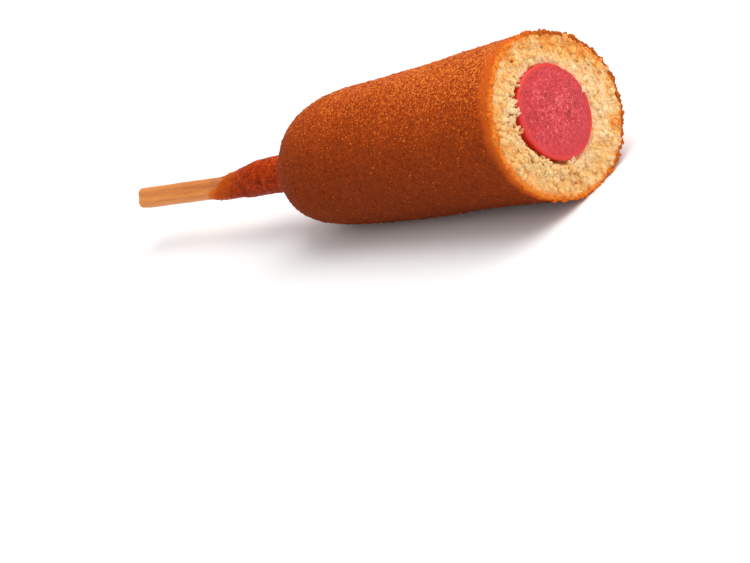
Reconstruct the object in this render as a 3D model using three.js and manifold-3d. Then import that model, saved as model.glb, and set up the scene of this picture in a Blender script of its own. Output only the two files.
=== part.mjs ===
// A corn dog with its tip cut off, lying on its side: a sausage on a square wooden stick, in a
// fried cornmeal batter coat that closes round the stick in a thin neck.
//
// Millimetres, +Z up. +X runs from the stick towards the cut. While the pieces are made, x = 0 is
// the pole of the round end, where the neck leaves the body; at the end the whole is centred over
// the origin, with the flat that it lies on at z = 0.
import * as THREE from "three";
import { mergeVertices } from "three/addons/utils/BufferGeometryUtils.js";
import Module from "manifold-3d";

// ---------------------------------------------------------------- driving dimensions

const bodyLength = 88; // pole of the round end to the cut
const cutRadius = 19; // the body is thickest where it is cut
const shoulderRadius = 17.2; // where the round end runs into the flank
const roundEnd = 30.6; // length of the round end
const rimRadius = 0.6; // the edge between flank and cut is rounded
const restFlat = 0.5; // depth of the flat pressed into the underside
const cutLean = THREE.MathUtils.degToRad(8.2); // the cut leans back over the body
const flareLength = 34; // towards the cut the coat swells, most on its near underside
const flareHeight = 1.4;
const flareAngle = THREE.MathUtils.degToRad(-135);
const gap = 0.3; // between pieces that touch

const neckLength = 32; // batter drawn out along the stick
const neckRadius = 4.7;
const neckLean = 1.4; // more of the neck's batter is on one side of the stick
const featherRadius = 3.15; // where the neck thins out on the stick
const featherSlant = 1; // the thin edge crosses the stick at a slant

const sausageRadius = 10.8;
const sausageStart = 8; // batter over the sausage's round end
const sausageEnd = 9; // length of that round end
const sausageShift = { y: -0.65, z: 0.45 }; // it sits a little off the middle of the coat
const sausageDome = 0.5; // the cut sausage swells out of its cut

const stickWidth = 5;
const stickThickness = 4.2;
const stickCorner = 5; // exponent of the rounded square section: 2 is an ellipse
const stickOut = 64.5; // bare end to the pole
const stickIn = 52; // pole to the point, inside the sausage
const stickEnd = 1.1; // rounding of both ends
const stickTurn = THREE.MathUtils.degToRad(55); // its wide side's tilt about X, from +Y
const stickTilt = THREE.MathUtils.degToRad(3); // against the body's centre line
const stickCrossing = -34; // x where the stick crosses the centre line

const turns = 48; // facets round the body

// The section is not round: [waves round the body, share of the radius, phase in degrees].
const outOfRound = [
  [2, 0.039, 4],
  [3, 0.011, 75],
  [4, 0.013, -20],
];
// Long swellings of the coat: [waves round the body, wavelength along it, height, phase].
const swellings = [
  [1, 61, 0.3, 3.6],
  [2, 90, 0.22, 0.9],
  [3, 24, 0.07, 4.0],
];
// Crumb relief on the cut: [wavelength, direction in degrees, height].
const crumbRelief = [
  [6.3, 20, 0.3],
  [4.1, 100, 0.25],
  [3.1, 155, 0.2],
];

// ---------------------------------------------------------------- shape rules

const smooth = THREE.MathUtils.smoothstep;
const taper = (cutRadius - shoulderRadius) / (bodyLength - roundEnd);

// Outline of the coat from the neck's thin edge to the cut, as (radius, x).
function coatOutline() {
  const path = new THREE.CurvePath();
  const stretch = (...xr) => path.add(new THREE.CubicBezierCurve(...xr.map(([x, r]) => new THREE.Vector2(r, x))));
  stretch([-neckLength, featherRadius], [-27, featherRadius], [-23, 3.25], [-19, 3.95]);
  stretch([-19, 3.95], [-16, 4.5], [-13, neckRadius], [-9, neckRadius]);
  stretch([-9, neckRadius], [-4, neckRadius], [0.4, 5.5], [1.86, 8.08]);
  stretch([1.86, 8.08], [5.6, 14.7], [15, shoulderRadius], [roundEnd, shoulderRadius]);
  return path;
}

// How far the section reaches at an angle, as a share of the outline's radius.
function sectionShare(angle) {
  return outOfRound.reduce(
    (share, [waves, height, phase]) => share + height * Math.cos(waves * angle + THREE.MathUtils.degToRad(phase)),
    1,
  );
}

// How far the coat swells near the cut.
function flare(x, angle) {
  return (flareHeight / 2) * (1 + Math.cos(angle - flareAngle)) * smooth(x, bodyLength - flareLength, bodyLength);
}

// Height of the body's centre line: it rises to the cut, so that shoulder and rim both rest.
const down = -Math.PI / 2;
const rimBelow = sectionShare(down) * cutRadius + flare(bodyLength, down);
const shoulderBelow = sectionShare(down) * shoulderRadius;
const rise = (rimBelow - shoulderBelow) / (bodyLength - roundEnd);
function centreHeight(x) {
  return shoulderBelow + (x - roundEnd) * rise - restFlat;
}

// The stick's own axes: along it towards its bare end, across its wide side, and through it.
const acrossStick = new THREE.Vector3(0, Math.cos(stickTurn), Math.sin(stickTurn));
const alongStick = new THREE.Vector3(-1, 0, -rise)
  .normalize()
  .addScaledVector(acrossStick, Math.tan(stickTilt))
  .normalize();
const throughStick = new THREE.Vector3().crossVectors(acrossStick, alongStick).normalize();
acrossStick.crossVectors(alongStick, throughStick);

// A point on the stick's centre line at x.
function stickCentre(x) {
  const start = new THREE.Vector3(stickCrossing, 0, centreHeight(stickCrossing));
  return start.addScaledVector(alongStick, (x - stickCrossing) / alongStick.x);
}

// Reach of the stick's rounded square section at an angle from its wide side's middle.
function stickReach(angle, width, thickness) {
  const c = Math.abs(Math.cos(angle)) / (width / 2);
  const s = Math.abs(Math.sin(angle)) / (thickness / 2);
  return (c ** stickCorner + s ** stickCorner) ** (-1 / stickCorner);
}

// ---------------------------------------------------------------- solids

const wasm = await Module();
wasm.setup();

function solidFrom(geometry) {
  const bare = geometry.clone();
  bare.deleteAttribute("normal");
  bare.deleteAttribute("uv");
  const merged = mergeVertices(bare, 1e-4);
  const mesh = new wasm.Mesh({
    numProp: 3,
    vertProperties: merged.attributes.position.array,
    triVerts: new Uint32Array(merged.index.array),
  });
  return new wasm.Manifold(mesh);
}

function meshFrom(name, solid, material) {
  const { vertProperties, triVerts } = solid.getMesh();
  const geometry = new THREE.BufferGeometry();
  geometry.setAttribute("position", new THREE.BufferAttribute(vertProperties, 3));
  geometry.setIndex(new THREE.BufferAttribute(triVerts, 1));
  geometry.computeVertexNormals();
  const mesh = new THREE.Mesh(geometry, material);
  mesh.name = name;
  return mesh;
}

// A turned shape along +X, with each vertex then moved by place(x, radius, angle, point).
function turned(outline, place) {
  const geometry = new THREE.LatheGeometry(outline, turns).rotateZ(-Math.PI / 2);
  const positions = geometry.attributes.position;
  const point = new THREE.Vector3();
  for (let i = 0; i < positions.count; i++) {
    point.fromBufferAttribute(positions, i);
    place(point.x, Math.hypot(point.y, point.z), Math.atan2(point.z, point.y), point);
    positions.setXYZ(i, point.x, point.y, point.z);
  }
  return geometry;
}

// The cut leans back: a point that stands above the centre line moves towards the stick.
function leanBack(point, share) {
  point.x -= share * Math.tan(cutLean) * (point.z - centreHeight(point.x));
}

// The coat as a solid plug: neck, round end, flank, rounded rim and a rough cut.
function coatPlug() {
  const outline = [new THREE.Vector2(0, -neckLength)];
  const rear = coatOutline();
  rear.curves.forEach((curve, i) => outline.push(...curve.getPoints([4, 3, 5, 9][i]).slice(i ? 1 : 0)));
  const flankSteps = 9;
  const flankEnd = bodyLength - rimRadius;
  for (let i = 1; i <= flankSteps; i++) {
    const x = THREE.MathUtils.lerp(roundEnd, flankEnd, i / flankSteps);
    outline.push(new THREE.Vector2(shoulderRadius + (x - roundEnd) * taper, x));
  }
  const rim = new THREE.Path().absarc(cutRadius - rimRadius, flankEnd, rimRadius, 0, Math.PI / 2);
  outline.push(...rim.getPoints(3).slice(1));
  const faceSteps = 4;
  for (let i = 1; i <= faceSteps; i++) {
    const radius = THREE.MathUtils.lerp(cutRadius - rimRadius, sausageRadius - 1, i / faceSteps);
    outline.push(new THREE.Vector2(radius, bodyLength));
  }
  outline.push(new THREE.Vector2(0, bodyLength));

  return turned(outline, (x, radius, angle, point) => {
    const onNeck = smooth(-x, -4, 10);
    const onStick = smooth(-x, 4, 22); // 0 on the body, 1 where the coat follows the stick
    const onBody = smooth(x, 0, roundEnd);
    const stickAngle = angle - stickTurn;
    let reach = radius * THREE.MathUtils.lerp(sectionShare(angle), 1, onStick);
    if (radius > 0) {
      const bare = stickReach(stickAngle, stickWidth, stickThickness);
      reach += onStick * (bare - stickWidth / 2);
      const thickness = (radius - featherRadius) / (neckRadius - featherRadius);
      reach += onNeck * neckLean * thickness * Math.cos(stickAngle);
    }
    reach += flare(x, angle) * (radius / cutRadius) ** 2;
    if (radius > cutRadius / 2) {
      for (const [waves, wavelength, height, phase] of swellings) {
        reach += onBody * height * Math.cos(waves * angle + (2 * Math.PI * x) / wavelength + phase);
      }
    }
    const stick = stickCentre(x);
    const middleY = THREE.MathUtils.lerp(0, stick.y, onNeck);
    const middleZ = THREE.MathUtils.lerp(centreHeight(x), stick.z, onNeck);
    point.set(x, middleY + reach * Math.cos(angle), middleZ + reach * Math.sin(angle));

    leanBack(point, smooth(x, bodyLength - 20, bodyLength));
    const onFace = smooth(x, bodyLength - 0.2, bodyLength) * smooth(cutRadius - radius, 0, 2 * rimRadius);
    for (const [wavelength, direction, height] of crumbRelief) {
      const a = THREE.MathUtils.degToRad(direction);
      const along = point.y * Math.cos(a) + point.z * Math.sin(a);
      point.x -= onFace * height * (1 + Math.sin((2 * Math.PI * along) / wavelength));
    }
    const slant = featherSlant * smooth(-x, 26, neckLength) * reach * Math.cos(stickAngle);
    point.x += slant;
  });
}

// The sausage, grown by a clearance where it is used to hollow out the coat.
function sausageShape(clearance) {
  const radius = sausageRadius + clearance;
  const start = sausageStart - clearance;
  const face = bodyLength + (clearance ? 4 : 0);
  const endSteps = 7;
  const outline = [];
  for (let i = 0; i <= endSteps; i++) {
    const a = ((i / endSteps) * Math.PI) / 2;
    outline.push(new THREE.Vector2(radius * Math.sin(a), start + sausageEnd * (1 - Math.cos(a))));
  }
  const skin = 0.6; // the skin turns over the edge of the cut
  outline.push(new THREE.Vector2(radius, face - skin));
  outline.push(new THREE.Vector2(radius - skin, face));
  for (const share of [0.65, 0.3, 0]) {
    outline.push(new THREE.Vector2(radius * share, face + sausageDome * (1 - share * share)));
  }
  return turned(outline, (x, r, angle, point) => {
    const y = sausageShift.y + r * Math.cos(angle);
    const z = centreHeight(x) + sausageShift.z + r * Math.sin(angle);
    point.set(x, y, z);
    leanBack(point, smooth(x, bodyLength - 20, bodyLength));
  });
}

// The stick along its own +Z from its bare end, grown by a clearance where it is used to bore.
function stickShape(clearance) {
  const width = stickWidth + 2 * clearance;
  const thickness = stickThickness + 2 * clearance;
  const facets = 32;
  const section = [];
  for (let i = 0; i < facets; i++) {
    const a = (i / facets) * 2 * Math.PI;
    const reach = stickReach(a, width, thickness) - stickEnd;
    section.push(new THREE.Vector2(reach * Math.sin(a), reach * Math.cos(a)));
  }
  const length = stickOut + stickIn + 2 * clearance;
  const bar = new THREE.ExtrudeGeometry(new THREE.Shape(section), {
    depth: length - 2 * stickEnd,
    bevelThickness: stickEnd,
    bevelSize: stickEnd,
    bevelSegments: 3,
  });
  return bar.translate(0, 0, stickEnd - stickIn - clearance);
}

// ---------------------------------------------------------------- the corn dog

const wood = new THREE.MeshStandardMaterial({ color: 0xd98f4e, roughness: 0.75, metalness: 0 });
const meat = new THREE.MeshStandardMaterial({ color: 0xcf4250, roughness: 0.45, metalness: 0 });
const crust = new THREE.MeshStandardMaterial({ color: 0xa9511c, roughness: 0.55, metalness: 0 });

const stickPlace = new THREE.Matrix4()
  .makeBasis(throughStick, acrossStick, alongStick)
  .setPosition(stickCentre(0));
const stickBore = solidFrom(stickShape(gap).applyMatrix4(stickPlace));

const stick = new THREE.Mesh(stickShape(0), wood);
stick.name = "stick";
stick.applyMatrix4(stickPlace);

const sausage = meshFrom("sausage", solidFrom(sausageShape(0)).subtract(stickBore), meat);

const ground = new THREE.BoxGeometry(400, 200, 40).translate(0, 0, -20);
const coat = solidFrom(coatPlug())
  .subtract(solidFrom(sausageShape(gap)))
  .subtract(stickBore)
  .subtract(solidFrom(ground));
const batter = meshFrom("batter", coat, crust);

const cornDog = new THREE.Group();
cornDog.name = "corn_dog";
cornDog.add(stick, sausage, batter);

const middle = new THREE.Box3().setFromObject(cornDog, true).getCenter(new THREE.Vector3());
cornDog.position.set(-middle.x, -middle.y, 0);

export default cornDog;
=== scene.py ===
# %% [markdown]
# # A corn dog, finished around its frame
#
# The frame holds a corn dog that lies on its side with its tip cut off: a coat of fried batter, a
# sausage and a stick. Its solids have the right size and place but plain, faceted surfaces. This
# script makes the surface that the eye reads: the fine-grained crust, the open crumb at the cut,
# the moist sausage and the grain of the stick. Every piece takes its place from the frame.

import math

import bpy
import numpy as np
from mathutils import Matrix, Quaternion, Vector
from mathutils.bvhtree import BVHTree


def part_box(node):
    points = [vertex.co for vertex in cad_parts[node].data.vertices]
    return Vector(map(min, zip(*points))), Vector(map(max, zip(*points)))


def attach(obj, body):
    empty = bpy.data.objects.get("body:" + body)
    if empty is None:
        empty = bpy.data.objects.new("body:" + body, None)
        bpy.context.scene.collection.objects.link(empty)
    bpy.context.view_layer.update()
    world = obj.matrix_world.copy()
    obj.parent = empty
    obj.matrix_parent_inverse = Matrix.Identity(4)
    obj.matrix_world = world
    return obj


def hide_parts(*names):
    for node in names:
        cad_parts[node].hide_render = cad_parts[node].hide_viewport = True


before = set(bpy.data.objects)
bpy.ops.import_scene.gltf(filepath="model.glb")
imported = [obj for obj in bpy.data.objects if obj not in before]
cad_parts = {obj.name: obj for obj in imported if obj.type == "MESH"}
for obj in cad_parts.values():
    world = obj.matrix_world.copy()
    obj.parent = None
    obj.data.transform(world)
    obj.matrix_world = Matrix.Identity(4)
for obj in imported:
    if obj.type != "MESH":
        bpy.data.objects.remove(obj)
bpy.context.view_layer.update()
MM = 0.001
print("pieces in the frame:", sorted(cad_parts))

# %% [markdown]
# ## Wires
#
# Materials and Geometry Nodes are both networks of nodes, and both need sums. Adding each Math node
# by hand hides the sum, so one small class wraps a socket: arithmetic on it adds the nodes. Any
# other node comes from its one method, which sets the node's settings first and its sockets then.

# %% A socket to reckon with
class Wire:
    """One output socket of a node tree. Arithmetic on it adds Math nodes."""

    def __init__(self, tree, socket=None):
        self.tree = tree
        self.socket = socket

    def node(self, kind, settings=None, inputs=None, out=0):
        made = self.tree.nodes.new(kind)
        for name, value in (settings or {}).items():
            if name == "stops":
                set_stops(made.color_ramp, value)
            else:
                setattr(made, name, value)
        for key, value in (inputs or {}).items():
            if isinstance(value, Wire):
                self.tree.links.new(value.socket, made.inputs[key])
            else:
                made.inputs[key].default_value = value
        return Wire(self.tree, made.outputs[out] if len(made.outputs) else None)

    def math(self, operation, *values):
        return self.node("ShaderNodeMath", {"operation": operation}, dict(enumerate(values)))

    def __add__(self, other):
        return self.math("ADD", self, other)

    def __sub__(self, other):
        return self.math("SUBTRACT", self, other)

    def __rsub__(self, other):
        return self.math("SUBTRACT", other, self)

    def __mul__(self, other):
        return self.math("MULTIPLY", self, other)

    def __truediv__(self, other):
        return self.math("DIVIDE", self, other)

    def __pow__(self, other):
        return self.math("POWER", self, other)

    __radd__ = __add__
    __rmul__ = __mul__

    def fade(self, low, high):
        """0 where this is at or under low, 1 at or over high, smooth between. Low may be the larger."""
        settings = {"interpolation_type": "SMOOTHSTEP"}
        ends = {"Value": self, "From Min": low, "From Max": high}
        if low < high:
            return self.node("ShaderNodeMapRange", settings, ends)
        ends.update({"From Min": high, "From Max": low})
        return 1 - self.node("ShaderNodeMapRange", settings, ends)

    def noise(self, size, detail=2, roughness=0.5, at=None, seed=0.0):
        """Soft random values about 0.5 in patches of this size, in metres."""
        settings = {"noise_dimensions": "4D"}
        inputs = {"W": seed, "Scale": 1 / size, "Detail": detail, "Roughness": roughness}
        if at is not None:
            inputs["Vector"] = at
        return self.node("ShaderNodeTexNoise", settings, inputs)

    def cells(self, size, at):
        """Distance to the nearest of points scattered this far apart, as a share of the size."""
        return self.node("ShaderNodeTexVoronoi", None, {"Scale": 1 / size, "Vector": at}, "Distance")

    def tint(self, low, high):
        """A colour between low, where this is 0, and high, where it is 1."""
        ends = {0: self, 6: colour(low), 7: colour(high)}
        return self.node("ShaderNodeMix", {"data_type": "RGBA"}, ends, 2)


def colour(value):
    """A colour socket takes four numbers, and a wire as it is."""
    return value if isinstance(value, Wire) else (*value, 1)


def set_stops(ramp, stops):
    while len(ramp.elements) < len(stops):
        ramp.elements.new(0.5)
    for element, (position, shade) in zip(ramp.elements, stops):
        element.position = position
        element.color = (*shade, 1)


print("wires ready")

# %% [markdown]
# ## Grids of points
#
# A surface that is swept round a line is easiest to make as a grid: columns run round it and rows
# run along it. numpy works out all the points at once, and one function turns the grid into a mesh
# whose columns close on themselves. Numbers for each point, such as its distance from the cut, are
# kept as attributes, and the materials read them.

# %% A mesh from a grid of points
def grid_mesh(name, points, attributes, closed_rows=True):
    """points is rows x columns x 3. The columns close; so do the rows, or else poles close them."""
    rows, columns = points.shape[:2]
    vertices = points.reshape(-1, 3)
    last = rows if closed_rows else rows - 1
    row, column = np.meshgrid(np.arange(last), np.arange(columns), indexing="ij")
    below, beside = (row + 1) % rows, (column + 1) % columns
    near, next_row = row * columns, below * columns
    corners = (near + column, near + beside, next_row + beside, next_row + column)
    faces = np.stack(corners, -1).reshape(-1, 4).tolist()
    extra = []
    if not closed_rows:
        for pole, edge in enumerate((0, rows - 1)):
            extra.append(points[edge].mean(0))
            ring = edge * columns + np.arange(columns)
            pairs = np.stack([ring, np.roll(ring, -1)], -1)
            tip = len(vertices) + pole
            faces += [(a, b, tip) if edge else (tip, b, a) for a, b in pairs.tolist()]
    mesh = bpy.data.meshes.new(name)
    mesh.from_pydata(np.vstack([vertices, *extra]).tolist(), [], faces)
    for label, values in attributes.items():
        flat = np.broadcast_to(values, (rows, columns)).reshape(-1)
        padded = np.concatenate([flat, [flat[0], flat[-1]][: len(extra)]])
        mesh.attributes.new(label, "FLOAT", "POINT").data.foreach_set("value", padded.astype(np.float32))
    mesh.shade_smooth()
    return mesh


def smooth_step(values, low, high):
    share = np.clip((values - low) / (high - low), 0, 1)
    return share * share * (3 - 2 * share)


def blur(values, sigma, axis, wrap):
    """A Gaussian average along one axis of a grid, with sigma in steps."""
    reach = int(3 * sigma) + 1
    weights = np.exp(-0.5 * (np.arange(-reach, reach + 1) / sigma) ** 2)
    widths = [(0, 0)] * values.ndim
    widths[axis] = (reach, reach)
    padded = np.pad(values, widths, mode="wrap" if wrap else "edge")
    weights /= weights.sum()
    return np.apply_along_axis(lambda line: np.convolve(line, weights, mode="valid"), axis, padded)


print("grids ready")

# %% [markdown]
# ## Reading the solids
#
# The fine surfaces have to lie where the frame's solids lie. So the frame is measured with rays: a
# ray from outside towards the centre line stops at the solid's surface. A tree of its triangles
# makes each ray fast, and a slight blur afterwards takes out the facets.

# %% Rays on to a solid
def ray_tree(node):
    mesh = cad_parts[node].data
    return BVHTree.FromPolygons([v.co for v in mesh.vertices], [p.vertices for p in mesh.polygons])


def cast(tree, origins, directions):
    """How far each ray goes before it meets the solid."""
    shape = np.broadcast_shapes(origins.shape, directions.shape)
    starts = np.broadcast_to(origins, shape).reshape(-1, 3)
    ways = np.broadcast_to(directions, shape).reshape(-1, 3)
    lengths = [tree.ray_cast(Vector(o), Vector(d))[3] for o, d in zip(starts, ways)]
    return np.array([np.nan if x is None else x for x in lengths]).reshape(shape[:-1])


def spokes(count):
    """Unit vectors round X, from +Y towards +Z, with their angles."""
    angles = np.arange(count) * 2 * math.pi / count
    return angles, np.stack([0 * angles, np.cos(angles), np.sin(angles)], -1)


coat_tree = ray_tree("batter")
sausage_tree = ray_tree("sausage")
stick_tree = ray_tree("stick")
REACH = 60 * MM  # rays start this far from a centre line, outside every solid
coat_low, coat_high = (np.array(corner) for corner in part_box("batter"))
sausage_low, sausage_high = (np.array(corner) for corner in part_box("sausage"))
stick_low, stick_high = (np.array(corner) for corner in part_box("stick"))
ALONG_X = np.array([1.0, 0, 0])
print("coat from", coat_low.round(4), "to", coat_high.round(4))

# %% Centre lines
def section_centre(node, tree, x):
    """Middle of a solid's section at x: where the rays from all round it land, on average."""
    low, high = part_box(node)
    centre = np.array([x, (low[1] + high[1]) / 2, (low[2] + high[2]) / 2])
    _, out = spokes(48)
    for _ in range(10):
        reach = REACH - cast(tree, centre + out * REACH, -out)
        centre = centre + np.nanmean(out * reach[:, None], 0)
    return centre


def line_through(node, tree, first_x, second_x):
    """A solid's centre line, as a function of x."""
    first, second = section_centre(node, tree, first_x), section_centre(node, tree, second_x)
    slope = (second - first) / (second_x - first_x)
    return lambda x: first + slope * (np.asarray(x)[..., None] - first_x)


# The two sections of each line lie clear of rounded ends, and of the cut.
body_line = line_through("batter", coat_tree, coat_high[0] - 50 * MM, coat_high[0] - 25 * MM)
sausage_line = line_through("sausage", sausage_tree, sausage_high[0] - 50 * MM, sausage_high[0] - 25 * MM)
stick_line = line_through("stick", stick_tree, stick_low[0] + 4 * MM, coat_low[0] - 4 * MM)
sausage_radius = (sausage_high[1] - sausage_low[1]) / 2
for name, line in (("body", body_line), ("sausage", sausage_line), ("stick", stick_line)):
    print(name, "rises", ((line(0.1) - line(0))[2] / 0.1).round(4), "per metre")

# %% [markdown]
# ## The crust's outline
#
# The coat is one skin from its thin edge on the stick, over the neck and the round end, along the
# flank to the cut. Rows of points at equal steps along this outline give every part the same grain.
# Two edges are not square to the axis: the thin edge crosses the stick at a slant, and the cut
# leans back. Each column therefore starts and ends at its own x, found by a ray along the axis.

# %% Rows and columns of the crust
COLUMNS = 300
ROW_STEP = 0.41 * MM
RIM_ROUND = 0.5 * MM
angles, out = spokes(COLUMNS)
probe_x = np.arange(coat_low[0] + 3 * MM, coat_high[0] - 6 * MM, 0.5 * MM)


def coat_centre(x, pole):
    """The stick's line under the neck, the body's own line from the round end on."""
    on_body = smooth_step(np.asarray(x), pole - 10 * MM, pole + 4 * MM)[..., None]
    return stick_line(x) + (body_line(x) - stick_line(x)) * on_body


def coat_radius(x, centre):
    """Radius of the coat at the columns' angles; x and centre are rows or rows x columns."""
    start = np.broadcast_to(centre, (*x.shape, 3)).copy()
    start[..., 0] = x
    return REACH - cast(coat_tree, start + out * REACH, -out)


probe_centre = body_line(probe_x)[:, None]
probe_grid = np.broadcast_to(probe_x[:, None], (len(probe_x), COLUMNS))
probe_radius = np.nanmean(coat_radius(probe_grid, probe_centre), 1)
flank_radius = probe_radius[-1]
pole_x = probe_x[np.nonzero(probe_radius < 0.42 * flank_radius)[0][-1]]

whole_neck_x = coat_low[0] + 7.5 * MM  # from here on the neck goes all the way round the stick
feather_centre = stick_line(coat_low[0] + 4 * MM)
feather_out = coat_radius(np.full((1, COLUMNS), whole_neck_x), stick_line(whole_neck_x))[0]
feather_start = feather_centre + out * (feather_out[:, None] - 0.12 * MM) - ALONG_X * 20 * MM
feather_x = feather_start[:, 0] + cast(coat_tree, feather_start, ALONG_X)
feather_x = np.where(np.isnan(feather_x), coat_low[0], feather_x)
# A ray that slips past the thin edge lands further on. The median of its neighbours drops it.
neighbours = range(-24, 25, 2)
feather_x = blur(np.median([np.roll(feather_x, step) for step in neighbours], 0), 3, 0, True)

whole_flank_x = coat_high[0] - 6 * MM  # the leaning cut lies beyond this all round
face_centre = body_line(coat_high[0] - 2 * MM)
face_out = coat_radius(np.full((1, COLUMNS), whole_flank_x), body_line(whole_flank_x))[0]
face_start = face_centre + out * (face_out[:, None] - 0.8 * MM) + ALONG_X * 20 * MM
face_x = blur(face_start[:, 0] - cast(coat_tree, face_start, -ALONG_X), 6, 0, True)

first, last = feather_x.mean() + 0.05 * MM, face_x.mean() - RIM_ROUND
bends = np.gradient(np.interp(np.linspace(first, last, 2000), probe_x, probe_radius), (last - first) / 1999)
travel = np.concatenate([[0], np.cumsum(np.hypot(1, bends[1:]) * (last - first) / 1999)])
rows = int(travel[-1] / ROW_STEP)
row_x = np.interp(np.linspace(0, travel[-1], rows), travel, np.linspace(first, last, 2000))

slant = (1 - smooth_step(row_x, first, first + 8 * MM))[:, None] * (feather_x - feather_x.mean())
lean = smooth_step(row_x, last - 20 * MM, last)[:, None] * (face_x - face_x.mean())
skin_x = row_x[:, None] + slant + lean
skin_centre = coat_centre(skin_x, pole_x)
skin_radius = coat_radius(skin_x, skin_centre)
holes = np.isnan(skin_radius)
for row in range(rows - 2, -1, -1):  # where a ray misses the thin edge, the next row's radius serves
    skin_radius[row] = np.where(holes[row], skin_radius[row + 1], skin_radius[row])
skin_radius = blur(blur(skin_radius, 4.5, 1, True), 2.0, 0, False)
skin = skin_centre + out * skin_radius[..., None]
skin[..., 0] = skin_x
print("crust grid", skin.shape[:2], "pole at", round(pole_x / MM, 1), "missed", int(holes.sum()))

# %% [markdown]
# ## The crust as a closed skin
#
# The outside alone would be an open shell. Here it turns over the edge of the cut, dips under the
# crumb, follows the sausage back as an inner wall and returns along the stick to the thin edge, so
# the last row meets the first. The batter thins out to almost nothing where it ends on the stick.

# %% Close the crust
rng = np.random.default_rng(11)


def ragged(size, waves):
    """An uneven line round the axis, from waves with random phases."""
    phases = rng.uniform(0, 2 * math.pi, len(waves))
    return size * sum(np.cos(w * angles + p) for w, p in zip(waves, phases)) / math.sqrt(len(waves))


def ring(line, x, radius, spread=0.0, around=out):
    """One row of a grid, round a line at x."""
    row = line(x) + around * np.broadcast_to(radius, len(around))[:, None]
    row[:, 0] = x + spread
    return row


thin = 1 - smooth_step(skin_x, feather_x, feather_x + 4 * MM)
skin -= out * (thin * 0.42 * MM)[..., None]
edge_drift = ragged(0.55 * MM, (3, 5, 8, 13, 21))
skin[..., 0] += (1 - smooth_step(skin_x, feather_x, feather_x + 5 * MM)) * edge_drift

rim = []
for turn in (0.35, 0.7, 1.0):
    bend = turn * math.pi / 2
    step = skin[-1] - out * RIM_ROUND * (1 - math.cos(bend))
    rim.append(step + ALONG_X * RIM_ROUND * math.sin(bend))
rim.append(rim[-1] - out * 0.35 * MM - ALONG_X * 0.05 * MM)
rim.append(rim[-1] - out * 0.6 * MM - ALONG_X * 1.6 * MM)
hole_radius = sausage_radius + 0.25 * MM
bore_radius = np.linalg.norm((skin[0] - stick_line(skin[0, :, 0]))[:, 1:], axis=1) - 0.25 * MM
face_back = face_x.mean() - 5 * MM
inner = [ring(sausage_line, face_back, hole_radius, lean[-1])]
for x in np.linspace(face_back - 20 * MM, sausage_low[0] + 4 * MM, 4):
    inner.append(ring(sausage_line, x, hole_radius))
inner.append(ring(sausage_line, sausage_low[0] - 0.5 * MM, 5 * MM))
for x in np.linspace(sausage_low[0] - 2 * MM, feather_x.max() + 2 * MM, 4):
    inner.append(ring(stick_line, x, bore_radius))
inner.append(skin[0] - out * 0.12 * MM + ALONG_X * 0.1 * MM)
crust_points = np.concatenate([skin, np.array(rim), np.array(inner)])

shown = np.zeros(crust_points.shape[:2])
shown[: rows + 3] = 1
shown[:3] = np.array([[0.1], [0.4], [0.8]])
shown[rows : rows + 3] *= 0.6
from_cut = (face_x - crust_points[..., 0]) / MM
past_pole = (pole_x - crust_points[..., 0]) / MM
from_edge = (crust_points[..., 0] - (feather_x + edge_drift)) / MM
crust_facts = {
    "shown": shown,
    "from_cut": from_cut,
    "neck": smooth_step(past_pole, -3, 3),
    "from_edge": from_edge,
}
crust_base = grid_mesh("crust_base", crust_points, crust_facts)
print("crust base", len(crust_base.polygons), "faces")

# %% [markdown]
# ## Relief by Geometry Nodes
#
# Frying leaves relief of every size: slow swells, dents where bubbles broke, and a sandy grain. Each
# is a sum of random fields, so a Geometry Nodes tree suits it: it moves every point along its
# normal, and its sizes are named inputs. The result is kept as a plain mesh.

# %% Trees and their results
def start_tree(name, inputs):
    """A new tree, with its group inputs as wires."""
    tree = bpy.data.node_groups.new(name, "GeometryNodeTree")
    tree.interface.new_socket("Geometry", in_out="INPUT", socket_type="NodeSocketGeometry")
    for label, value in inputs.items():
        kind = "NodeSocketInt" if isinstance(value, int) else "NodeSocketFloat"
        tree.interface.new_socket(label, in_out="INPUT", socket_type=kind).default_value = value
    tree.interface.new_socket("Geometry", in_out="OUTPUT", socket_type="NodeSocketGeometry")
    entry = tree.nodes.new("NodeGroupInput")
    return {socket.name: Wire(tree, socket) for socket in entry.outputs if socket.name}


def end_tree(geometry, material):
    """Realizes what the tree made, gives it its material and sends it out."""
    real = geometry.node("GeometryNodeRealizeInstances", None, {"Geometry": geometry})
    finished = real.node("GeometryNodeSetMaterial", None, {"Geometry": real, "Material": material})
    finished.node("NodeGroupOutput", None, {0: finished})
    return finished.tree


def field(wire, name):
    """An attribute of the mesh as a wire."""
    return wire.node("GeometryNodeInputNamedAttribute", {"data_type": "FLOAT"}, {"Name": name}, "Attribute")


def push_out(geometry, height):
    """Moves each point along its normal."""
    normal = geometry.node("GeometryNodeInputNormal")
    push = normal.node("ShaderNodeVectorMath", {"operation": "SCALE"}, {0: normal, "Scale": height})
    return geometry.node("GeometryNodeSetPosition", None, {"Geometry": geometry, "Offset": push})


def run_tree(name, tree, base, sizes=None):
    """Runs a tree on a mesh, and returns the result as a plain mesh object at the origin."""
    holder = bpy.data.objects.new(name + "_holder", base)
    bpy.context.collection.objects.link(holder)
    modifier = holder.modifiers.new("tree", "NODES")
    modifier.node_group = tree
    for item in tree.interface.items_tree:
        if item.in_out == "INPUT" and item.name in (sizes or {}):
            modifier[item.identifier] = sizes[item.name]
    graph = bpy.context.evaluated_depsgraph_get()
    mesh = bpy.data.meshes.new_from_object(holder.evaluated_get(graph), depsgraph=graph)
    bpy.data.objects.remove(holder)
    mesh.name = name
    piece = bpy.data.objects.new(name, mesh)
    bpy.context.collection.objects.link(piece)
    return piece


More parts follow.
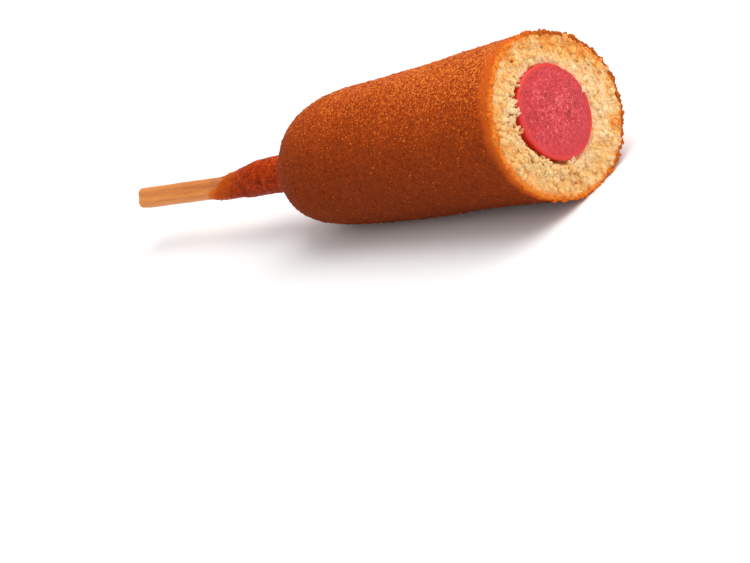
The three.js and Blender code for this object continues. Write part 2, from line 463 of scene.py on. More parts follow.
def place(piece, slot, *nodes):
    """Hangs a finished piece on the frame."""
    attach(piece, "root")
    if nodes:
        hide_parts(*nodes)
    piece.data.calc_loop_triangles()
    print(piece.name, len(piece.data.loop_triangles), "triangles")


def keep_above_floor(mesh):
    """Relief may not push the flat underside below the surface it lies on."""
    points = np.empty(len(mesh.vertices) * 3, np.float32)
    mesh.vertices.foreach_get("co", points)
    points[2::3] = np.maximum(points[2::3], 0)
    mesh.vertices.foreach_set("co", points)
    mesh.update()


print("tree helpers ready")

# %% The crust's relief
def crust_tree(material):
    sizes = {"Swell": 0.45 * MM, "Ripple": 0.32 * MM, "Grain": 0.16 * MM}
    sizes.update({"Dent": 0.1 * MM, "Neck": 0.9 * MM})
    start = start_tree("fried_relief", sizes)
    geometry = start["Geometry"]
    at = geometry.node("GeometryNodeInputPosition")
    swell = (geometry.noise(9 * MM, 1, at=at, seed=1.0) - 0.5) * start["Swell"]
    ripple = (geometry.noise(2.4 * MM, 3, 0.55, at, 2.0) - 0.5) * start["Ripple"]
    grain = (geometry.noise(0.95 * MM, 2, 0.6, at, 3.0) - 0.5) * start["Grain"]
    dent = geometry.cells(4.3 * MM, at).fade(0.16, 0.05) * start["Dent"]
    drip = (geometry.noise(3.4 * MM, 2, 0.5, at, 4.0) - 0.5) * start["Neck"] * field(geometry, "neck")
    drip = drip * field(geometry, "from_edge").fade(0, 9)
    height = (swell + ripple + grain - dent + drip) * field(geometry, "shown")
    return end_tree(push_out(geometry, height), material)


print("the crust's tree can be made")

# %% [markdown]
# ## Materials
#
# A finish is a network of nodes behind one shader. What is the same all over is set on the shader's
# own socket; what varies comes from noise on the piece's own coordinates, and from the attributes
# that the grids carry.

# %% A finish and its shader
def start_finish(name):
    """A new material with an empty network."""
    material = bpy.data.materials.new(name)
    material.use_nodes = True
    material.node_tree.nodes.clear()
    return material, Wire(material.node_tree)


def end_finish(wire, base, roughness, normal, **same_all_over):
    inputs = {"Base Color": base, "Roughness": roughness, "Normal": normal}
    inputs.update({label.replace("_", " "): value for label, value in same_all_over.items()})
    shader = wire.node("ShaderNodeBsdfPrincipled", {"subsurface_method": "RANDOM_WALK"}, inputs)
    wire.node("ShaderNodeOutputMaterial", None, {"Surface": shader})


def fact(wire, name):
    """A number that the mesh carries at each point."""
    return wire.node("ShaderNodeAttribute", {"attribute_name": name}, None, "Fac")


def place_on(wire):
    """The piece's own coordinates, which are the frame's."""
    return wire.node("ShaderNodeTexCoord", None, None, "Object")


def along(wire, direction, origin, radius):
    """How far a point lies from an origin along a direction, in radii."""
    inputs = {0: place_on(wire), 1: direction}
    place = wire.node("ShaderNodeVectorMath", {"operation": "DOT_PRODUCT"}, inputs, "Value")
    return (place - float(np.dot(direction, origin))) / radius


def bump(wire, height, depth):
    """Relief too fine for the mesh: it only tilts the normals."""
    return wire.node("ShaderNodeBump", None, {"Height": height, "Distance": depth, "Strength": 1.0})


print("finish helpers ready")

# %% [markdown]
# ## The crust's finish
#
# Hot oil browns the coat from orange to dark brown. Over that brown come painted light and shade: the
# coat is painted lighter on its upper side, where the key lamp falls, and darker underneath, and its
# sandy speckle from grains of cornmeal is painted stronger on the lit side. Next to the cut the crust
# thins to a golden glow before the crumb starts, a band painted wider on the lit side as painted
# light, and on the neck the batter is redder and a little shinier, with the same painted light and
# shade. Each of these is a tint laid over the one before, and noise makes the edges of most of them
# ragged.

# %% The crust's colours
LIT_SIDE = (0.09, 0.57, 0.82)  # the side the key lamp lights; the crust is painted lighter towards it: painted light and shade
FAR_SIDE = (0, 1, 0)
COAT_RADIUS = 18 * MM
middle = body_line(coat_high[0] - 45 * MM)  # about halfway along the body


def fried_crust():
    material, wire = start_finish("fried_crust")
    at = place_on(wire)
    from_cut, neck, from_edge, own = (fact(wire, name) for name in ("from_cut", "neck", "from_edge", "own"))
    height = along(wire, LIT_SIDE, middle, COAT_RADIUS)
    patches = wire.noise(8 * MM, 3, 0.55, at, 5.0)
    mottle = wire.noise(1.6 * MM, 3, 0.6, at, 6.0)
    sand = wire.noise(0.42 * MM, 2, 0.6, at, 7.0)
    # painted light and shade: lighter tone, stronger speckle and a wider golden band towards the lit top
    side = height.fade(-1.0, 1.15)
    grain = (sand - 0.5) * (side * 2.0 + 1.0)
    tone = side * 0.55 + patches * 0.2 + mottle * 0.2 + grain + own * own * 0.6 + 0.02
    stops = [(0.0, (0.13, 0.018, 0.003)), (0.35, (0.25, 0.036, 0.005)), (0.6, (0.37, 0.050, 0.005))]
    stops += [(0.85, (0.58, 0.098, 0.010)), (1.0, (0.78, 0.22, 0.034))]
    brown = wire.node("ShaderNodeValToRGB", {"stops": stops}, {"Fac": tone}, "Color")
    red_stops = [(0.0, (0.18, 0.014, 0.001)), (0.5, (0.48, 0.042, 0.001)), (1.0, (0.84, 0.14, 0.006))]
    # painted light and shade on the neck: its red is lighter towards the lit top and darker underneath
    red_tone = side * 0.7 + (mottle - 0.5) * 1.1 + (sand - 0.5) * 1.9 + 0.14 + own * own * 0.5
    red = wire.node("ShaderNodeValToRGB", {"stops": red_stops}, {"Fac": red_tone}, "Color")
    coat = neck.tint(brown, red)
    drift = (wire.noise(2.2 * MM, 3, 0.6, at, 8.0) - 0.5) * 4 + (sand - 0.5) * 3
    near_cut = from_cut * (1.8 - side * 0.75) + drift
    orange = near_cut.fade(6.5, 1.0).tint(coat, (0.62, 0.105, 0.010))
    golden = near_cut.fade(2.0, 0.0).tint(orange, (0.70, 0.155, 0.014))
    far = along(wire, FAR_SIDE, middle, COAT_RADIUS)
    edge = (near_cut.fade(1.2, 0.2) * far.fade(0.0, 0.6) * 0.8).tint(golden, (0.40, 0.085, 0.012))
    crumby = (from_cut + drift * 0.8).fade(0.7, -0.3) * far.fade(0.5, -0.2)
    torn = crumby.tint(edge, (0.78, 0.24, 0.030))
    paler = ((from_edge + drift).fade(14, 1) * 0.45).tint(torn, (0.72, 0.14, 0.012))
    thin = ((from_edge + drift * 0.5).fade(4.0, 0.2) * 0.8).tint(paler, (0.72, 0.15, 0.016))
    fine = wire.noise(0.3 * MM, 3, 0.65, at, 9.0)
    grit = sand * 0.6 + fine * 0.4
    roughness = 0.58 - neck * 0.12 + (mottle - 0.5) * 0.2
    gloss = neck * 0.03
    shine = {"Specular_IOR_Level": 0.02, "Coat_Weight": gloss, "Coat_Roughness": 0.35}
    end_finish(wire, thin, roughness, bump(wire, grit, 0.34 * MM), **shine)
    return material


crust_finish = fried_crust()
crust = run_tree("crust", crust_tree(crust_finish), crust_base)
keep_above_floor(crust.data)
place(crust, "fried_batter", "batter")

# %% [markdown]
# ## The crumb
#
# Where the coat is cut, cornmeal crumb shows: clumps about a millimetre across, with pores between
# them, and a ragged gap on one side of the sausage. A bump map can't give that depth, so the face is
# a dense ring of its own. Noise on bent coordinates makes uneven clumps, and a threshold on soft
# noise makes the pores. The points start on the frame's cut and are pushed out and in from there.

# %% The ring between sausage and crust
CRUMB_COLUMNS = 900
CRUMB_ROWS = 88
INNER_SKIRT = 3.4 * MM  # how far the ring's inner edge folds back along the sausage
OUTER_SKIRT = 1.3 * MM  # and its outer edge under the crust
crumb_angles, crumb_out = spokes(CRUMB_COLUMNS)
rim_edge = rim[2] - out * 0.2 * MM
turn = crumb_angles * COLUMNS / (2 * math.pi)
outer_edge = np.stack([np.interp(turn, np.arange(COLUMNS + 1), np.append(c, c[0])) for c in rim_edge.T], -1)
sausage_middle = sausage_line(face_x.mean())
inner_edge = sausage_middle + crumb_out * (sausage_radius - 0.1 * MM)
share = np.linspace(1, 0, CRUMB_ROWS)[:, None]


def between(share):
    """Points of the ring, from the sausage at 0 to the crust at 1."""
    return inner_edge + (outer_edge - inner_edge) * np.asarray(share)[..., None]


safe = between(np.clip(share, 0.07, 0.95))
safe[..., 0] = coat_high[0] + 5 * MM
depth = cast(coat_tree, safe, -ALONG_X)
face = between(share + 0 * depth)
face[..., 0] = blur(blur(safe[..., 0] - depth, 8, 1, True), 3, 0, False)
rim_blend = smooth_step(share, 0.9, 1.0)
face[..., 0] += (outer_edge[:, 0] - face[..., 0]) * rim_blend
outer_skirt = face[0] - crumb_out * 0.1 * MM - ALONG_X * OUTER_SKIRT
inner_skirt = face[-1] - ALONG_X * INNER_SKIRT
crumb_points = np.concatenate([outer_skirt[None], face, inner_skirt[None]])
crumb_share = np.concatenate([[[1.0]], share, [[0.0]]])
face_shown = 1 - 0.6 * smooth_step(share, 0.95, 1.0)
crumb_shown = np.concatenate([[[0.0]], face_shown, [[0.0]]])
crumb_base = grid_mesh("crumb_base", crumb_points, {"rim_share": crumb_share, "shown": crumb_shown})
print("crumb ring", crumb_points.shape[:2])

# %% The crumb's relief
LOOSE_SIDE = (0.0, -0.95, 0.0)  # the crumb has come away from the sausage here


def crumb_tree(material):
    sizes = {"Clump": 1.3 * MM, "Crumb": 0.6 * MM, "Pore": 0.9 * MM}
    sizes.update({"Rise": 0.75 * MM, "Gap": 2.2 * MM})
    start = start_tree("crumb_relief", sizes)
    geometry = start["Geometry"]
    at = geometry.node("GeometryNodeInputPosition")
    warp = geometry.node("ShaderNodeTexNoise", None, {"Vector": at, "Scale": 1 / (1.3 * MM)}, "Color")
    warp = warp.node("ShaderNodeVectorMath", {"operation": "SCALE"}, {0: warp, "Scale": 0.9 * MM})
    bent = warp.node("ShaderNodeVectorMath", {"operation": "ADD"}, {0: at, 1: warp})
    clump = (geometry.noise(2.6 * MM, 2, 0.5, bent, 20.0) - 0.5) * start["Clump"]
    crumb = (geometry.noise(0.85 * MM, 2, 0.55, bent, 24.0) - 0.5) * start["Crumb"]
    fine = (geometry.noise(0.32 * MM, 2, 0.6, at, 21.0) - 0.5) * (0.26 * MM)
    pore = geometry.noise(1.5 * MM, 2, 0.5, bent, 22.0).fade(0.36, 0.27)
    around = at.node("ShaderNodeVectorMath", {"operation": "SUBTRACT"}, {0: at, 1: tuple(sausage_middle)})
    ends = {0: around, 1: LOOSE_SIDE}
    toward = around.node("ShaderNodeVectorMath", {"operation": "DOT_PRODUCT"}, ends, "Value")
    loose = toward.fade(-4 * MM, 8 * MM)
    rim_share = field(geometry, "rim_share")
    chance = geometry.noise(1.7 * MM, 2, 0.5, at, 23.0)
    gap = rim_share.fade(0.2, 0.03) * loose * chance.fade(0.40, 0.50)
    rise = rim_share.fade(0.5, 0.05) * loose * start["Rise"]
    pit = geometry.noise(1.2 * MM, 2, 0.5, bent, 25.0).fade(0.42, 0.34) * loose * rim_share.fade(0.75, 0.35)
    hollow = pore * rim_share.fade(0.95, 0.6) * start["Pore"] + gap * start["Gap"] + pit * start["Pore"]
    height = (clump + crumb + fine + rise - hollow) * field(geometry, "shown")
    keep = {"data_type": "FLOAT", "domain": "POINT"}
    values = {"Geometry": geometry, "Name": "height", "Value": (height - rise) / (1 * MM)}
    noted = geometry.node("GeometryNodeStoreNamedAttribute", keep, values)
    return end_tree(push_out(noted, height), material)


print("the crumb's tree can be made")

# %% [markdown]
# ## The crumb's finish
#
# Crumb is pale cream near the sausage and golden towards the crust, with toasted patches. Light goes
# a little way into it, so its hollows glow warm instead of turning grey: a darker orange tint painted
# in the low places of the relief, painted shade, helps that along. The face is also painted darker
# towards its lower side, away from the key lamp: painted shade. Where it touches the sausage, the
# meat has stained it faintly pink.

# %% The crumb's colours
FACE_RADIUS = 19 * MM
face_middle = body_line(face_x.mean())


def open_crumb():
    material, wire = start_finish("open_crumb")
    at = place_on(wire)
    rim_share = fact(wire, "rim_share")
    height = fact(wire, "height")
    own = fact(wire, "own")
    upper = along(wire, LIT_SIDE, face_middle, FACE_RADIUS)
    patches = wire.noise(3.2 * MM, 3, 0.6, at, 31.0)
    mottle = wire.noise(0.8 * MM, 3, 0.6, at, 32.0)
    golden = rim_share.fade(0.2, 1.0) * 0.38 + upper.fade(0.4, 0.9) * 0.35
    golden = golden + (patches - 0.5) * 3.0 + (mottle - 0.5) * 1.5 + own * 0.15 + 0.06
    stops = [(0.0, (0.90, 0.64, 0.34)), (0.3, (0.88, 0.53, 0.20)), (0.6, (0.88, 0.43, 0.10))]
    stops += [(0.85, (0.87, 0.34, 0.045)), (1.0, (0.78, 0.22, 0.020))]
    pale = wire.node("ShaderNodeValToRGB", {"stops": stops}, {"Fac": golden}, "Color")
    toasted = wire.noise(2.3 * MM, 2, 0.5, at, 34.0).fade(0.54, 0.66) * rim_share.fade(0.3, 0.75)
    pale = (toasted * 0.6).tint(pale, (0.84, 0.32, 0.04))
    # painted shade: the face is painted darker towards its lower side, away from the key lamp
    painted_low_shade = (upper.fade(0.1, -0.8) * 0.45).tint(pale, (0.70, 0.44, 0.16))
    stain = (rim_share + (patches - 0.5) * 0.3).fade(0.22, 0.02) * 0.45
    pink = stain.tint(painted_low_shade, (0.84, 0.42, 0.34))
    # painted shade: the low places of the relief are painted darker orange, the deepest darker still
    warm = ((height + (mottle - 0.5) * 0.8).fade(0.25, -0.45) * 0.4).tint(pink, (0.86, 0.37, 0.10))
    deep = (height + (mottle - 0.5) * 0.4).fade(-0.15, -1.0)
    shade = (deep * 0.8).tint(warm, (0.68, 0.22, 0.05))
    outer = (rim_share + (mottle - 0.5) * 0.3 + (patches - 0.5) * 0.3).fade(0.86, 1.0)
    base = outer.tint(shade, (0.78, 0.23, 0.022))
    grit = wire.noise(0.25 * MM, 3, 0.6, at, 33.0)
    roughness = 0.62 + (mottle - 0.5) * 0.2
    glow = {"Subsurface_Weight": 0.4, "Subsurface_Radius": (1.0, 0.75, 0.5)}
    glow["Subsurface_Scale"] = 0.7 * MM
    end_finish(wire, base, roughness, bump(wire, grit, 0.12 * MM), **glow)
    return material


crumb_finish = open_crumb()
crumb = run_tree("crumb", crumb_tree(crumb_finish), crumb_base)
keep_above_floor(crumb.data)
place(crumb, "fried_batter")

# %% [markdown]
# ## Loose grains
#
# A cut crumb and a fried crust both carry real grains that catch the light and break the outline.
# One tree scatters them over any mesh: it makes a few uneven lumps, puts one on each random point,
# turns and sizes it by chance, and sinks it a little. Fixed seeds give the same grains each time.
# Each grain has few faces, as there are thousands.

# %% A tree that scatters lumps
FULL_TURN = 6.283  # radians, near enough for a random spin
GRAIN_SHAPES = 6


def scatter_tree(name, mask, faces_level, flatten, material):
    """Lumps on random points, where the mask attribute says how densely, from 0 to 1."""
    sizes = {"Density": 1e6, "Smallest": 0.3 * MM, "Largest": 0.9 * MM, "Sink": 0.1 * MM, "Seed": 1}
    start = start_tree(name, sizes)
    geometry = start["Geometry"]
    density = {"Density": start["Density"] * field(geometry, mask), "Seed": start["Seed"], "Mesh": geometry}
    spots = geometry.node("GeometryNodeDistributePointsOnFaces", {"distribute_method": "RANDOM"}, density)
    turn = Wire(spots.tree, spots.socket.node.outputs["Rotation"])
    lumps = geometry.node("GeometryNodeJoinGeometry")
    for shape in range(GRAIN_SHAPES):
        ball = geometry.node("GeometryNodeMeshIcoSphere", None, {"Radius": 0.5, "Subdivisions": faces_level})
        at = ball.node("GeometryNodeInputPosition")
        rough = (ball.noise(0.75, 2, 0.6, at, 40.0 + shape) - 0.5) * 1.1
        lump = push_out(ball, rough)
        smooth = lump.node("GeometryNodeSetShadeSmooth", None, {"Geometry": lump})
        single = smooth.node("GeometryNodeGeometryToInstance", None, {"Geometry": smooth})
        lump.tree.links.new(single.socket, lumps.socket.node.inputs["Geometry"])

    def dice(seed):
        """A random number from 0 to 1 for each point."""
        return spots.node("FunctionNodeRandomValue", {"data_type": "FLOAT"}, {"Seed": seed}, 1)

    angles = {"Z": dice(3) * FULL_TURN, "X": dice(8) * (1 - flatten) * FULL_TURN}
    spin = spots.node("ShaderNodeCombineXYZ", None, angles)
    local = {"rotation_space": "LOCAL"}
    turned = spots.node("FunctionNodeRotateRotation", local, {"Rotation": turn, "Rotate By": spin})
    size = start["Smallest"] + (start["Largest"] - start["Smallest"]) * (dice(4) ** 2.2)
    stretch = {"X": size * (0.8 + dice(5) * 0.5), "Y": size, "Z": size * (1 - flatten * 0.45)}
    scale = spots.node("ShaderNodeCombineXYZ", None, stretch)
    choices = {4: 0, 5: GRAIN_SHAPES - 1, "Seed": 6}
    pick = spots.node("FunctionNodeRandomValue", {"data_type": "INT"}, choices, 2)
    inputs = {"Points": spots, "Instance": lumps, "Pick Instance": True, "Instance Index": pick}
    inputs.update({"Rotation": turned, "Scale": scale})
    placed = spots.node("GeometryNodeInstanceOnPoints", None, inputs)
    down = spots.node("ShaderNodeCombineXYZ", None, {"Z": start["Sink"] * -1.0})
    sunk = placed.node("GeometryNodeTranslateInstances", None, {"Instances": placed, "Translation": down})
    keep = {"data_type": "FLOAT", "domain": "INSTANCE"}
    own = placed.node("FunctionNodeRandomValue", {"data_type": "FLOAT"}, {"Seed": 7}, 1)
    values = {"Geometry": sunk, "Name": "own", "Value": own}
    return end_tree(sunk.node("GeometryNodeStoreNamedAttribute", keep, values), material)


def mark(mesh, name, values):
    mesh.attributes.new(name, "FLOAT", "POINT").data.foreach_set("value", values.astype(np.float32))


def read(mesh, name):
    values = np.empty(len(mesh.vertices), np.float32)
    mesh.attributes[name].data.foreach_get("value", values)
    return values


print("the scatter tree can be made")

# %% Grains on the crumb
height = read(crumb.data, "height")
open_face = read(crumb.data, "shown") > 0.5
mark(crumb.data, "chunky", open_face * smooth_step(height, -0.5, 0.2))
mark(crumb.data, "gritty", open_face * 1.0)
chunks = scatter_tree("chunks", "chunky", 2, 0.3, crumb_finish)
chunk_sizes = {"Density": 0.8e6, "Smallest": 0.5 * MM, "Largest": 1.8 * MM, "Sink": 0.3 * MM, "Seed": 5}
crumb_chunks = run_tree("crumb_chunks", chunks, crumb.data, chunk_sizes)
bits = scatter_tree("bits", "gritty", 1, 0.2, crumb_finish)
bit_sizes = {"Density": 4.5e6, "Smallest": 0.18 * MM, "Largest": 0.42 * MM, "Sink": 0.05 * MM, "Seed": 9}
crumb_bits = run_tree("crumb_bits", bits, crumb.data, bit_sizes)
place(crumb_chunks, "fried_batter")
place(crumb_bits, "fried_batter")

# %% Grains on the crust
on_skin = (read(crust.data, "shown") > 0.95) * 1.0
mark(crust.data, "sandy", on_skin * (1 - 0.7 * read(crust.data, "neck")))
sand = scatter_tree("sand", "sandy", 1, 0.5, crust_finish)
sand_sizes = {"Density": 0.95e6, "Smallest": 0.2 * MM, "Largest": 0.5 * MM, "Sink": 0.03 * MM, "Seed": 3}
crust_grains = run_tree("crust_grains", sand, crust.data, sand_sizes)
keep_above_floor(crust_grains.data)
place(crust_grains, "fried_batter")

# %% Crumbs on the rim of the cut
to_cut = read(crust.data, "from_cut")
at_cut = (read(crust.data, "shown") > 0.5) * (to_cut < 0.9) * (to_cut > -0.6)
across = np.array([v.co.y for v in crust.data.vertices]) - middle[1]
crowding = 0.35 + 0.65 * smooth_step(across, -2 * MM, 10 * MM)  # more of them on the far side
mark(crust.data, "at_rim", at_cut * crowding)
torn = scatter_tree("torn", "at_rim", 2, 0.35, crust_finish)
torn_sizes = {"Density": 3.0e6, "Smallest": 0.35 * MM, "Largest": 1.3 * MM, "Sink": 0.1 * MM, "Seed": 21}
rim_crumbs = run_tree("rim_crumbs", torn, crust.data, torn_sizes)
keep_above_floor(rim_crumbs.data)
place(rim_crumbs, "fried_batter")

# %% [markdown]
# ## The sausage
#
# Only the cut face and a sliver of the side show, but the piece is whole. The face is a shallow dome
# that leans with the cut: rays give points on the frame's face, and the dome that fits them best is
# free of facets. The skin turns over the edge of the face in a small round. The meat's relief is
# fine: a soft swell, mince a millimetre across, and pits where air was trapped. The pits are painted
# dark, and the face darker towards its bottom: painted shade.

# %% The sausage's grid
SAUSAGE_COLUMNS = 560
SKIN_ROUND = 0.5 * MM
_, sausage_out = spokes(SAUSAGE_COLUMNS)
side_radius = sausage_radius - 0.02 * MM


def dome(points):
    """The terms of a leaning dome over the sausage's face."""
    y, z = ((points[..., axis] - sausage_middle[axis]) / sausage_radius for axis in (1, 2))
    return np.stack([np.ones_like(y), y, z, y * y + z * z], -1)


_, few = spokes(24)
probes = sausage_middle + few * (np.array([0.15, 0.35, 0.55, 0.75, 0.88]) * sausage_radius)[:, None, None]
probes[..., 0] = sausage_high[0] + 5 * MM
hits = probes[..., 0] - cast(sausage_tree, probes, -ALONG_X)
dome_terms = np.linalg.lstsq(dome(probes).reshape(-1, 4), hits.reshape(-1), rcond=None)[0]


def on_dome(radius):
    """One ring of the sausage's face."""
    row = sausage_middle + sausage_out * radius
    row[:, 0] = dome(row) @ dome_terms
    return row


tail_x = sausage_low[0] + 12 * MM * (1 - np.cos(np.linspace(0.1, 1, 14) * math.pi / 2))
tail_start = sausage_line(tail_x)[:, None]
tail_start[..., 0] = tail_x[:, None]
tail_radius = REACH - np.nanmean(cast(sausage_tree, tail_start + few * REACH, -few), 1)
lip = on_dome(side_radius)
sausage_rows = [ring(sausage_line, x, r, around=sausage_out) for x, r in zip(tail_x, tail_radius)]
for x in np.linspace(tail_x[-1] + 4 * MM, lip[:, 0].mean() - 12 * MM, 8):
    sausage_rows.append(ring(sausage_line, x, side_radius, around=sausage_out))
for back in np.linspace(7, 0.62, 34):
    sausage_rows.append(lip - ALONG_X * back * MM)
side_rows = len(sausage_rows)
for turn_share in np.linspace(0.1, 0.9, 6):
    bend = turn_share * math.pi / 2
    row = on_dome(side_radius - SKIN_ROUND * (1 - math.cos(bend)))
    sausage_rows.append(row - ALONG_X * SKIN_ROUND * (1 - math.sin(bend)))
for radius in np.linspace(side_radius - SKIN_ROUND, 0.02 * side_radius, 92):
    sausage_rows.append(on_dome(radius))
sausage_points = np.array(sausage_rows)
from_middle = (sausage_points - sausage_line(sausage_points[..., 0]))[..., 1:]
middle_share = np.linalg.norm(from_middle, axis=-1) / side_radius
middle_share[:side_rows] = 1.05
behind = np.maximum(lip[:, 0] - sausage_points[..., 0], 0) / MM
sausage_facts = {"middle_share": middle_share, "behind": behind}
sausage_base = grid_mesh("sausage_base", sausage_points, sausage_facts, closed_rows=False)
print("sausage grid", sausage_points.shape[:2], "dome", (dome_terms[3] / MM).round(2), "mm")

# %% The sausage's relief
def meat_tree(material):
    sizes = {"Swell": 0.3 * MM, "Mince": 0.16 * MM, "Pit": 0.3 * MM, "Ridge": 0.14 * MM}
    start = start_tree("meat_relief", sizes)
    geometry = start["Geometry"]
    at = geometry.node("GeometryNodeInputPosition")
    share = field(geometry, "middle_share")
    swell = (geometry.noise(5 * MM, 1, at=at, seed=51.0) - 0.5) * start["Swell"]
    mince = (geometry.noise(0.9 * MM, 3, 0.6, at, 52.0) - 0.5) * start["Mince"]
    pit = geometry.cells(2.1 * MM, at).fade(0.15, 0.06) * share.fade(1.0, 0.9) * start["Pit"]
    ridge = share.fade(0.88, 0.96) * start["Ridge"]
    return end_tree(push_out(geometry, swell + mince - pit + ridge), material)


print("the sausage's tree can be made")

# %% The sausage's finish
def moist_meat():
    material, wire = start_finish("moist_meat")
    at = place_on(wire)
    share = fact(wire, "middle_share")
    behind = fact(wire, "behind")
    broad = wire.noise(3.5 * MM, 3, 0.55, at, 53.0)
    mince = wire.noise(0.8 * MM, 3, 0.6, at, 54.0)
    fleck = wire.noise(0.38 * MM, 2, 0.6, at, 55.0)
    tone = broad * 1.2 + mince * 1.7 + fleck * 1.9 - 1.97
    stops = [(0.0, (0.26, 0.006, 0.012)), (0.35, (0.50, 0.017, 0.026)), (0.65, (0.62, 0.039, 0.049))]
    stops += [(1.0, (0.76, 0.18, 0.18))]
    meat = wire.node("ShaderNodeValToRGB", {"stops": stops}, {"Fac": tone}, "Color")
    fat = wire.cells(1.1 * MM, at).fade(0.24, 0.1) * mince.fade(0.45, 0.6) * 0.6
    flecked = fat.tint(meat, (0.80, 0.34, 0.32))
    # painted shade: the meat is painted dark in the same pits that the relief sinks
    shaded_pits = (wire.cells(2.1 * MM, at).fade(0.14, 0.07) * 0.8).tint(flecked, (0.30, 0.015, 0.02))
    outer = (share.fade(0.45, 0.95) * 0.45).tint(shaded_pits, (0.54, 0.020, 0.026))
    # painted shade: the face is painted darker towards its bottom
    below = along(wire, (0, 0, -1), sausage_middle, sausage_radius)
    painted_meat_shade = (below.fade(0.0, 0.8) * 0.5).tint(outer, (0.52, 0.017, 0.021))
    skin = (share + (mince - 0.5) * 0.1).fade(0.89, 0.98).tint(painted_meat_shade, (0.64, 0.028, 0.018))
    base = behind.fade(0.4, 1.4).tint(skin, (0.66, 0.022, 0.010))
    grit = mince * 0.6 + fleck * 0.4
    roughness = 0.38 + (broad - 0.5) * 0.3
    glow = {"Subsurface_Weight": 0.2, "Subsurface_Radius": (1.0, 0.2, 0.12)}
    glow.update({"Subsurface_Scale": 0.8 * MM, "Specular_IOR_Level": 0.4})
    end_finish(wire, base, roughness, bump(wire, grit, 0.22 * MM), **glow)
    return material


sausage = run_tree("sausage_meat", meat_tree(moist_meat()), sausage_base)
place(sausage, "sausage_meat", "sausage")

# %% [markdown]
# ## The stick
#
# The stick is a rounded square rod of pale wood. Rings of rays along it give its sides, and rays
# fanned out from a point near each end give the rounded ends. Wood's relief and colour run in long
# fibres, so both read coordinates that are squeezed along the stick: a round blot becomes a streak.

# %% The stick's grid
STICK_COLUMNS = 96
END_DEPTH = 1.6 * MM
_, stick_out = spokes(STICK_COLUMNS)


def stick_side(x):
    """A ring round the stick at x."""
    centre = stick_line(x)
    centre[0] = x
    radius = REACH - cast(stick_tree, centre + stick_out * REACH, -stick_out)
    return ring(stick_line, x, radius, around=stick_out)


def stick_tip(x, side, fan):
    """A ring on the rounded end, where rays at this angle to the stick's axis meet it."""
    centre = stick_line(x)
    centre[0] = x
    ways = stick_out * math.sin(fan) + ALONG_X * side * math.cos(fan)
    reach = REACH - cast(stick_tree, centre + ways * REACH, -ways)
    return centre + ways * reach[:, None]


bare_end, buried_end = stick_low[0] + END_DEPTH, stick_high[0] - END_DEPTH
under_batter = feather_x.max() + 1.5 * MM
stick_rows = [stick_tip(bare_end, -1, fan) for fan in np.linspace(0.05, 0.49 * math.pi, 40)]
stick_rows += [stick_side(x) for x in np.arange(bare_end, under_batter, 0.13 * MM)]
stick_rows += [stick_side(x) for x in np.linspace(under_batter + 4 * MM, buried_end, 12)]
stick_rows += [stick_tip(buried_end, 1, fan) for fan in np.linspace(0.49 * math.pi, 0.05, 10)]
stick_points = np.array(stick_rows)
stick_facts = {"to_batter": (feather_x.mean() - stick_points[..., 0]) / MM}
stick_base = grid_mesh("stick_base", stick_points, stick_facts, closed_rows=False)
print("stick grid", stick_points.shape[:2], "missed", int(np.isnan(stick_points).any(-1).sum()))

# %% The stick's relief
def wood_tree(material):
    sizes = {"Sway": 0.16 * MM, "Fibre": 0.16 * MM, "Nap": 0.05 * MM}
    start = start_tree("wood_relief", sizes)
    geometry = start["Geometry"]
    at = geometry.node("GeometryNodeInputPosition")
    squeezed = at.node("ShaderNodeVectorMath", {"operation": "MULTIPLY"}, {0: at, 1: (0.05, 1, 1)})
    sway = (geometry.noise(7 * MM, 1, at=at, seed=61.0) - 0.5) * start["Sway"]
    fibre = (geometry.noise(0.6 * MM, 3, 0.55, squeezed, 62.0) - 0.5) * start["Fibre"]
    nap = (geometry.noise(0.35 * MM, 2, 0.5, at, 63.0) - 0.5) * start["Nap"]
    return end_tree(push_out(geometry, sway + fibre + nap), material)


print("the stick's tree can be made")

# %% The stick's finish
def warm_wood():
    material, wire = start_finish("warm_wood")
    at = place_on(wire)
    squeezed = at.node("ShaderNodeVectorMath", {"operation": "MULTIPLY"}, {0: at, 1: (0.035, 1, 1)})
    streak = wire.noise(0.55 * MM, 3, 0.6, squeezed, 64.0)
    band = wire.noise(2.4 * MM, 2, 0.5, squeezed, 65.0)
    nap = wire.noise(0.4 * MM, 3, 0.6, at, 66.0)
    tone = streak * 1.2 + band * 1.0 + nap * 0.7 - 0.95
    stops = [(0.0, (0.40, 0.105, 0.018)), (0.45, (0.64, 0.200, 0.036)), (0.75, (0.76, 0.28, 0.058))]
    stops += [(1.0, (0.86, 0.38, 0.11))]
    wood = wire.node("ShaderNodeValToRGB", {"stops": stops}, {"Fac": tone}, "Color")
    oiled = (fact(wire, "to_batter") + (nap - 0.5) * 4).fade(4.5, -0.5) * 0.6
    base = oiled.tint(wood, (0.48, 0.13, 0.03))
    roughness = 0.52 + (streak - 0.5) * 0.2
    grain = streak * 0.7 + nap * 0.3
    end_finish(wire, base, roughness, bump(wire, grain, 0.08 * MM), Specular_IOR_Level=0.3)
    return material


stick = run_tree("stick_wood", wood_tree(warm_wood()), stick_base)
place(stick, "stick_wood", "stick")

# %% [markdown]
# ## Camera, floor and light
#
# The camera looks down on the cut from the front right with a long lens, and is rolled, so that the
# corn dog climbs across the frame. The floor is plain and pale. A broad lamp above and behind gives
# the crust its gloss, and a bright even surround keeps the shadows open.

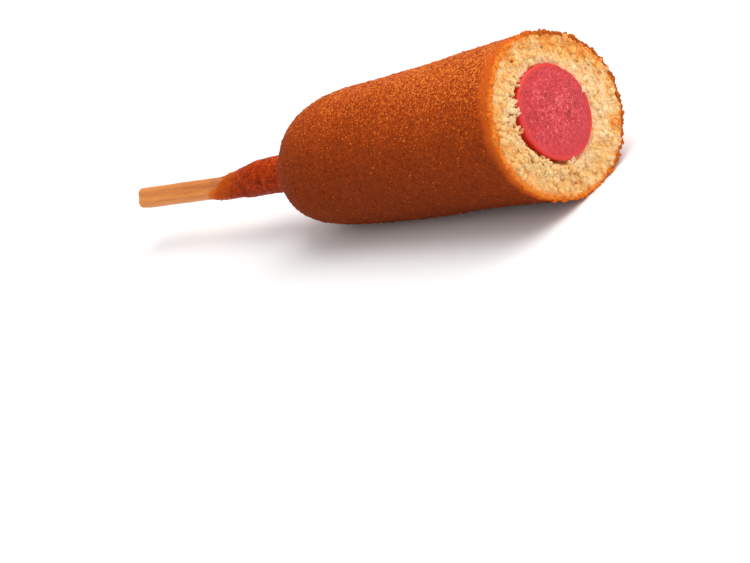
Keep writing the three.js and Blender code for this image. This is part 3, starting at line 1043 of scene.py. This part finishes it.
# %% The camera
def look(azimuth, elevation, roll, distance, aim, lens):
    """A camera round a point, in degrees, metres and millimetres of lens."""
    turn, rise = math.radians(azimuth), math.radians(elevation)
    back = Vector((math.sin(turn) * math.cos(rise), -math.cos(turn) * math.cos(rise), math.sin(rise)))
    camera = bpy.data.objects.new("camera", bpy.data.cameras.new("camera"))
    camera.data.lens = lens
    camera.data.clip_start, camera.data.clip_end = 0.05, 50
    camera.location = Vector(aim) + back * distance
    facing = (-back).to_track_quat("-Z", "Y")
    camera.rotation_mode = "QUATERNION"
    camera.rotation_quaternion = Quaternion(back, math.radians(-roll)) @ facing
    bpy.context.collection.objects.link(camera)
    bpy.context.scene.camera = camera


aim = (22.556 * MM, -25.719 * MM, -3.973 * MM)
look(azimuth=50.842, elevation=20.513, roll=29.059, distance=0.6, aim=aim, lens=124.8)
print("camera at", [round(x, 3) for x in bpy.context.scene.camera.location])

# %% Floor and lamps
def pale_floor():
    bpy.ops.mesh.primitive_plane_add(size=6)
    floor = bpy.context.object
    floor.name = "floor"
    material, wire = start_finish("pale_floor")
    shade = wire.noise(0.3, 2, 0.5, place_on(wire)).tint((0.86, 0.86, 0.86), (0.9, 0.9, 0.9))
    end_finish(wire, shade, 0.7, bump(wire, wire.noise(2 * MM, 2, 0.5, place_on(wire)), 0.01 * MM))
    floor.data.materials.append(material)


LAMPS_FACE = Vector((20 * MM, 0, 15 * MM))  # the point the lamps look at


def lamp(name, direction, distance, size, power):
    """A square white lamp that looks at the corn dog from a direction."""
    data = bpy.data.lights.new(name, "AREA")
    data.shape = "SQUARE"
    data.size, data.energy = size, power
    lit = bpy.data.objects.new(name, data)
    away = Vector(direction).normalized() * distance
    lit.location = away + LAMPS_FACE
    lit.rotation_euler = away.to_track_quat("Z", "Y").to_euler()
    bpy.context.collection.objects.link(lit)


pale_floor()
lamp("key", (0.30, 0.28, 0.87), 0.9, 0.9, 7.5)
lamp("fill", (0.85, -0.45, 0.35), 1.1, 0.8, 0.8)
world = bpy.data.worlds.new("studio")
world.use_nodes = True
world.node_tree.nodes["Background"].inputs["Color"].default_value = (1, 1, 1, 1)
world.node_tree.nodes["Background"].inputs["Strength"].default_value = 0.75
bpy.context.scene.world = world
bpy.context.scene.view_settings.view_transform = "Standard"
print("stage set")
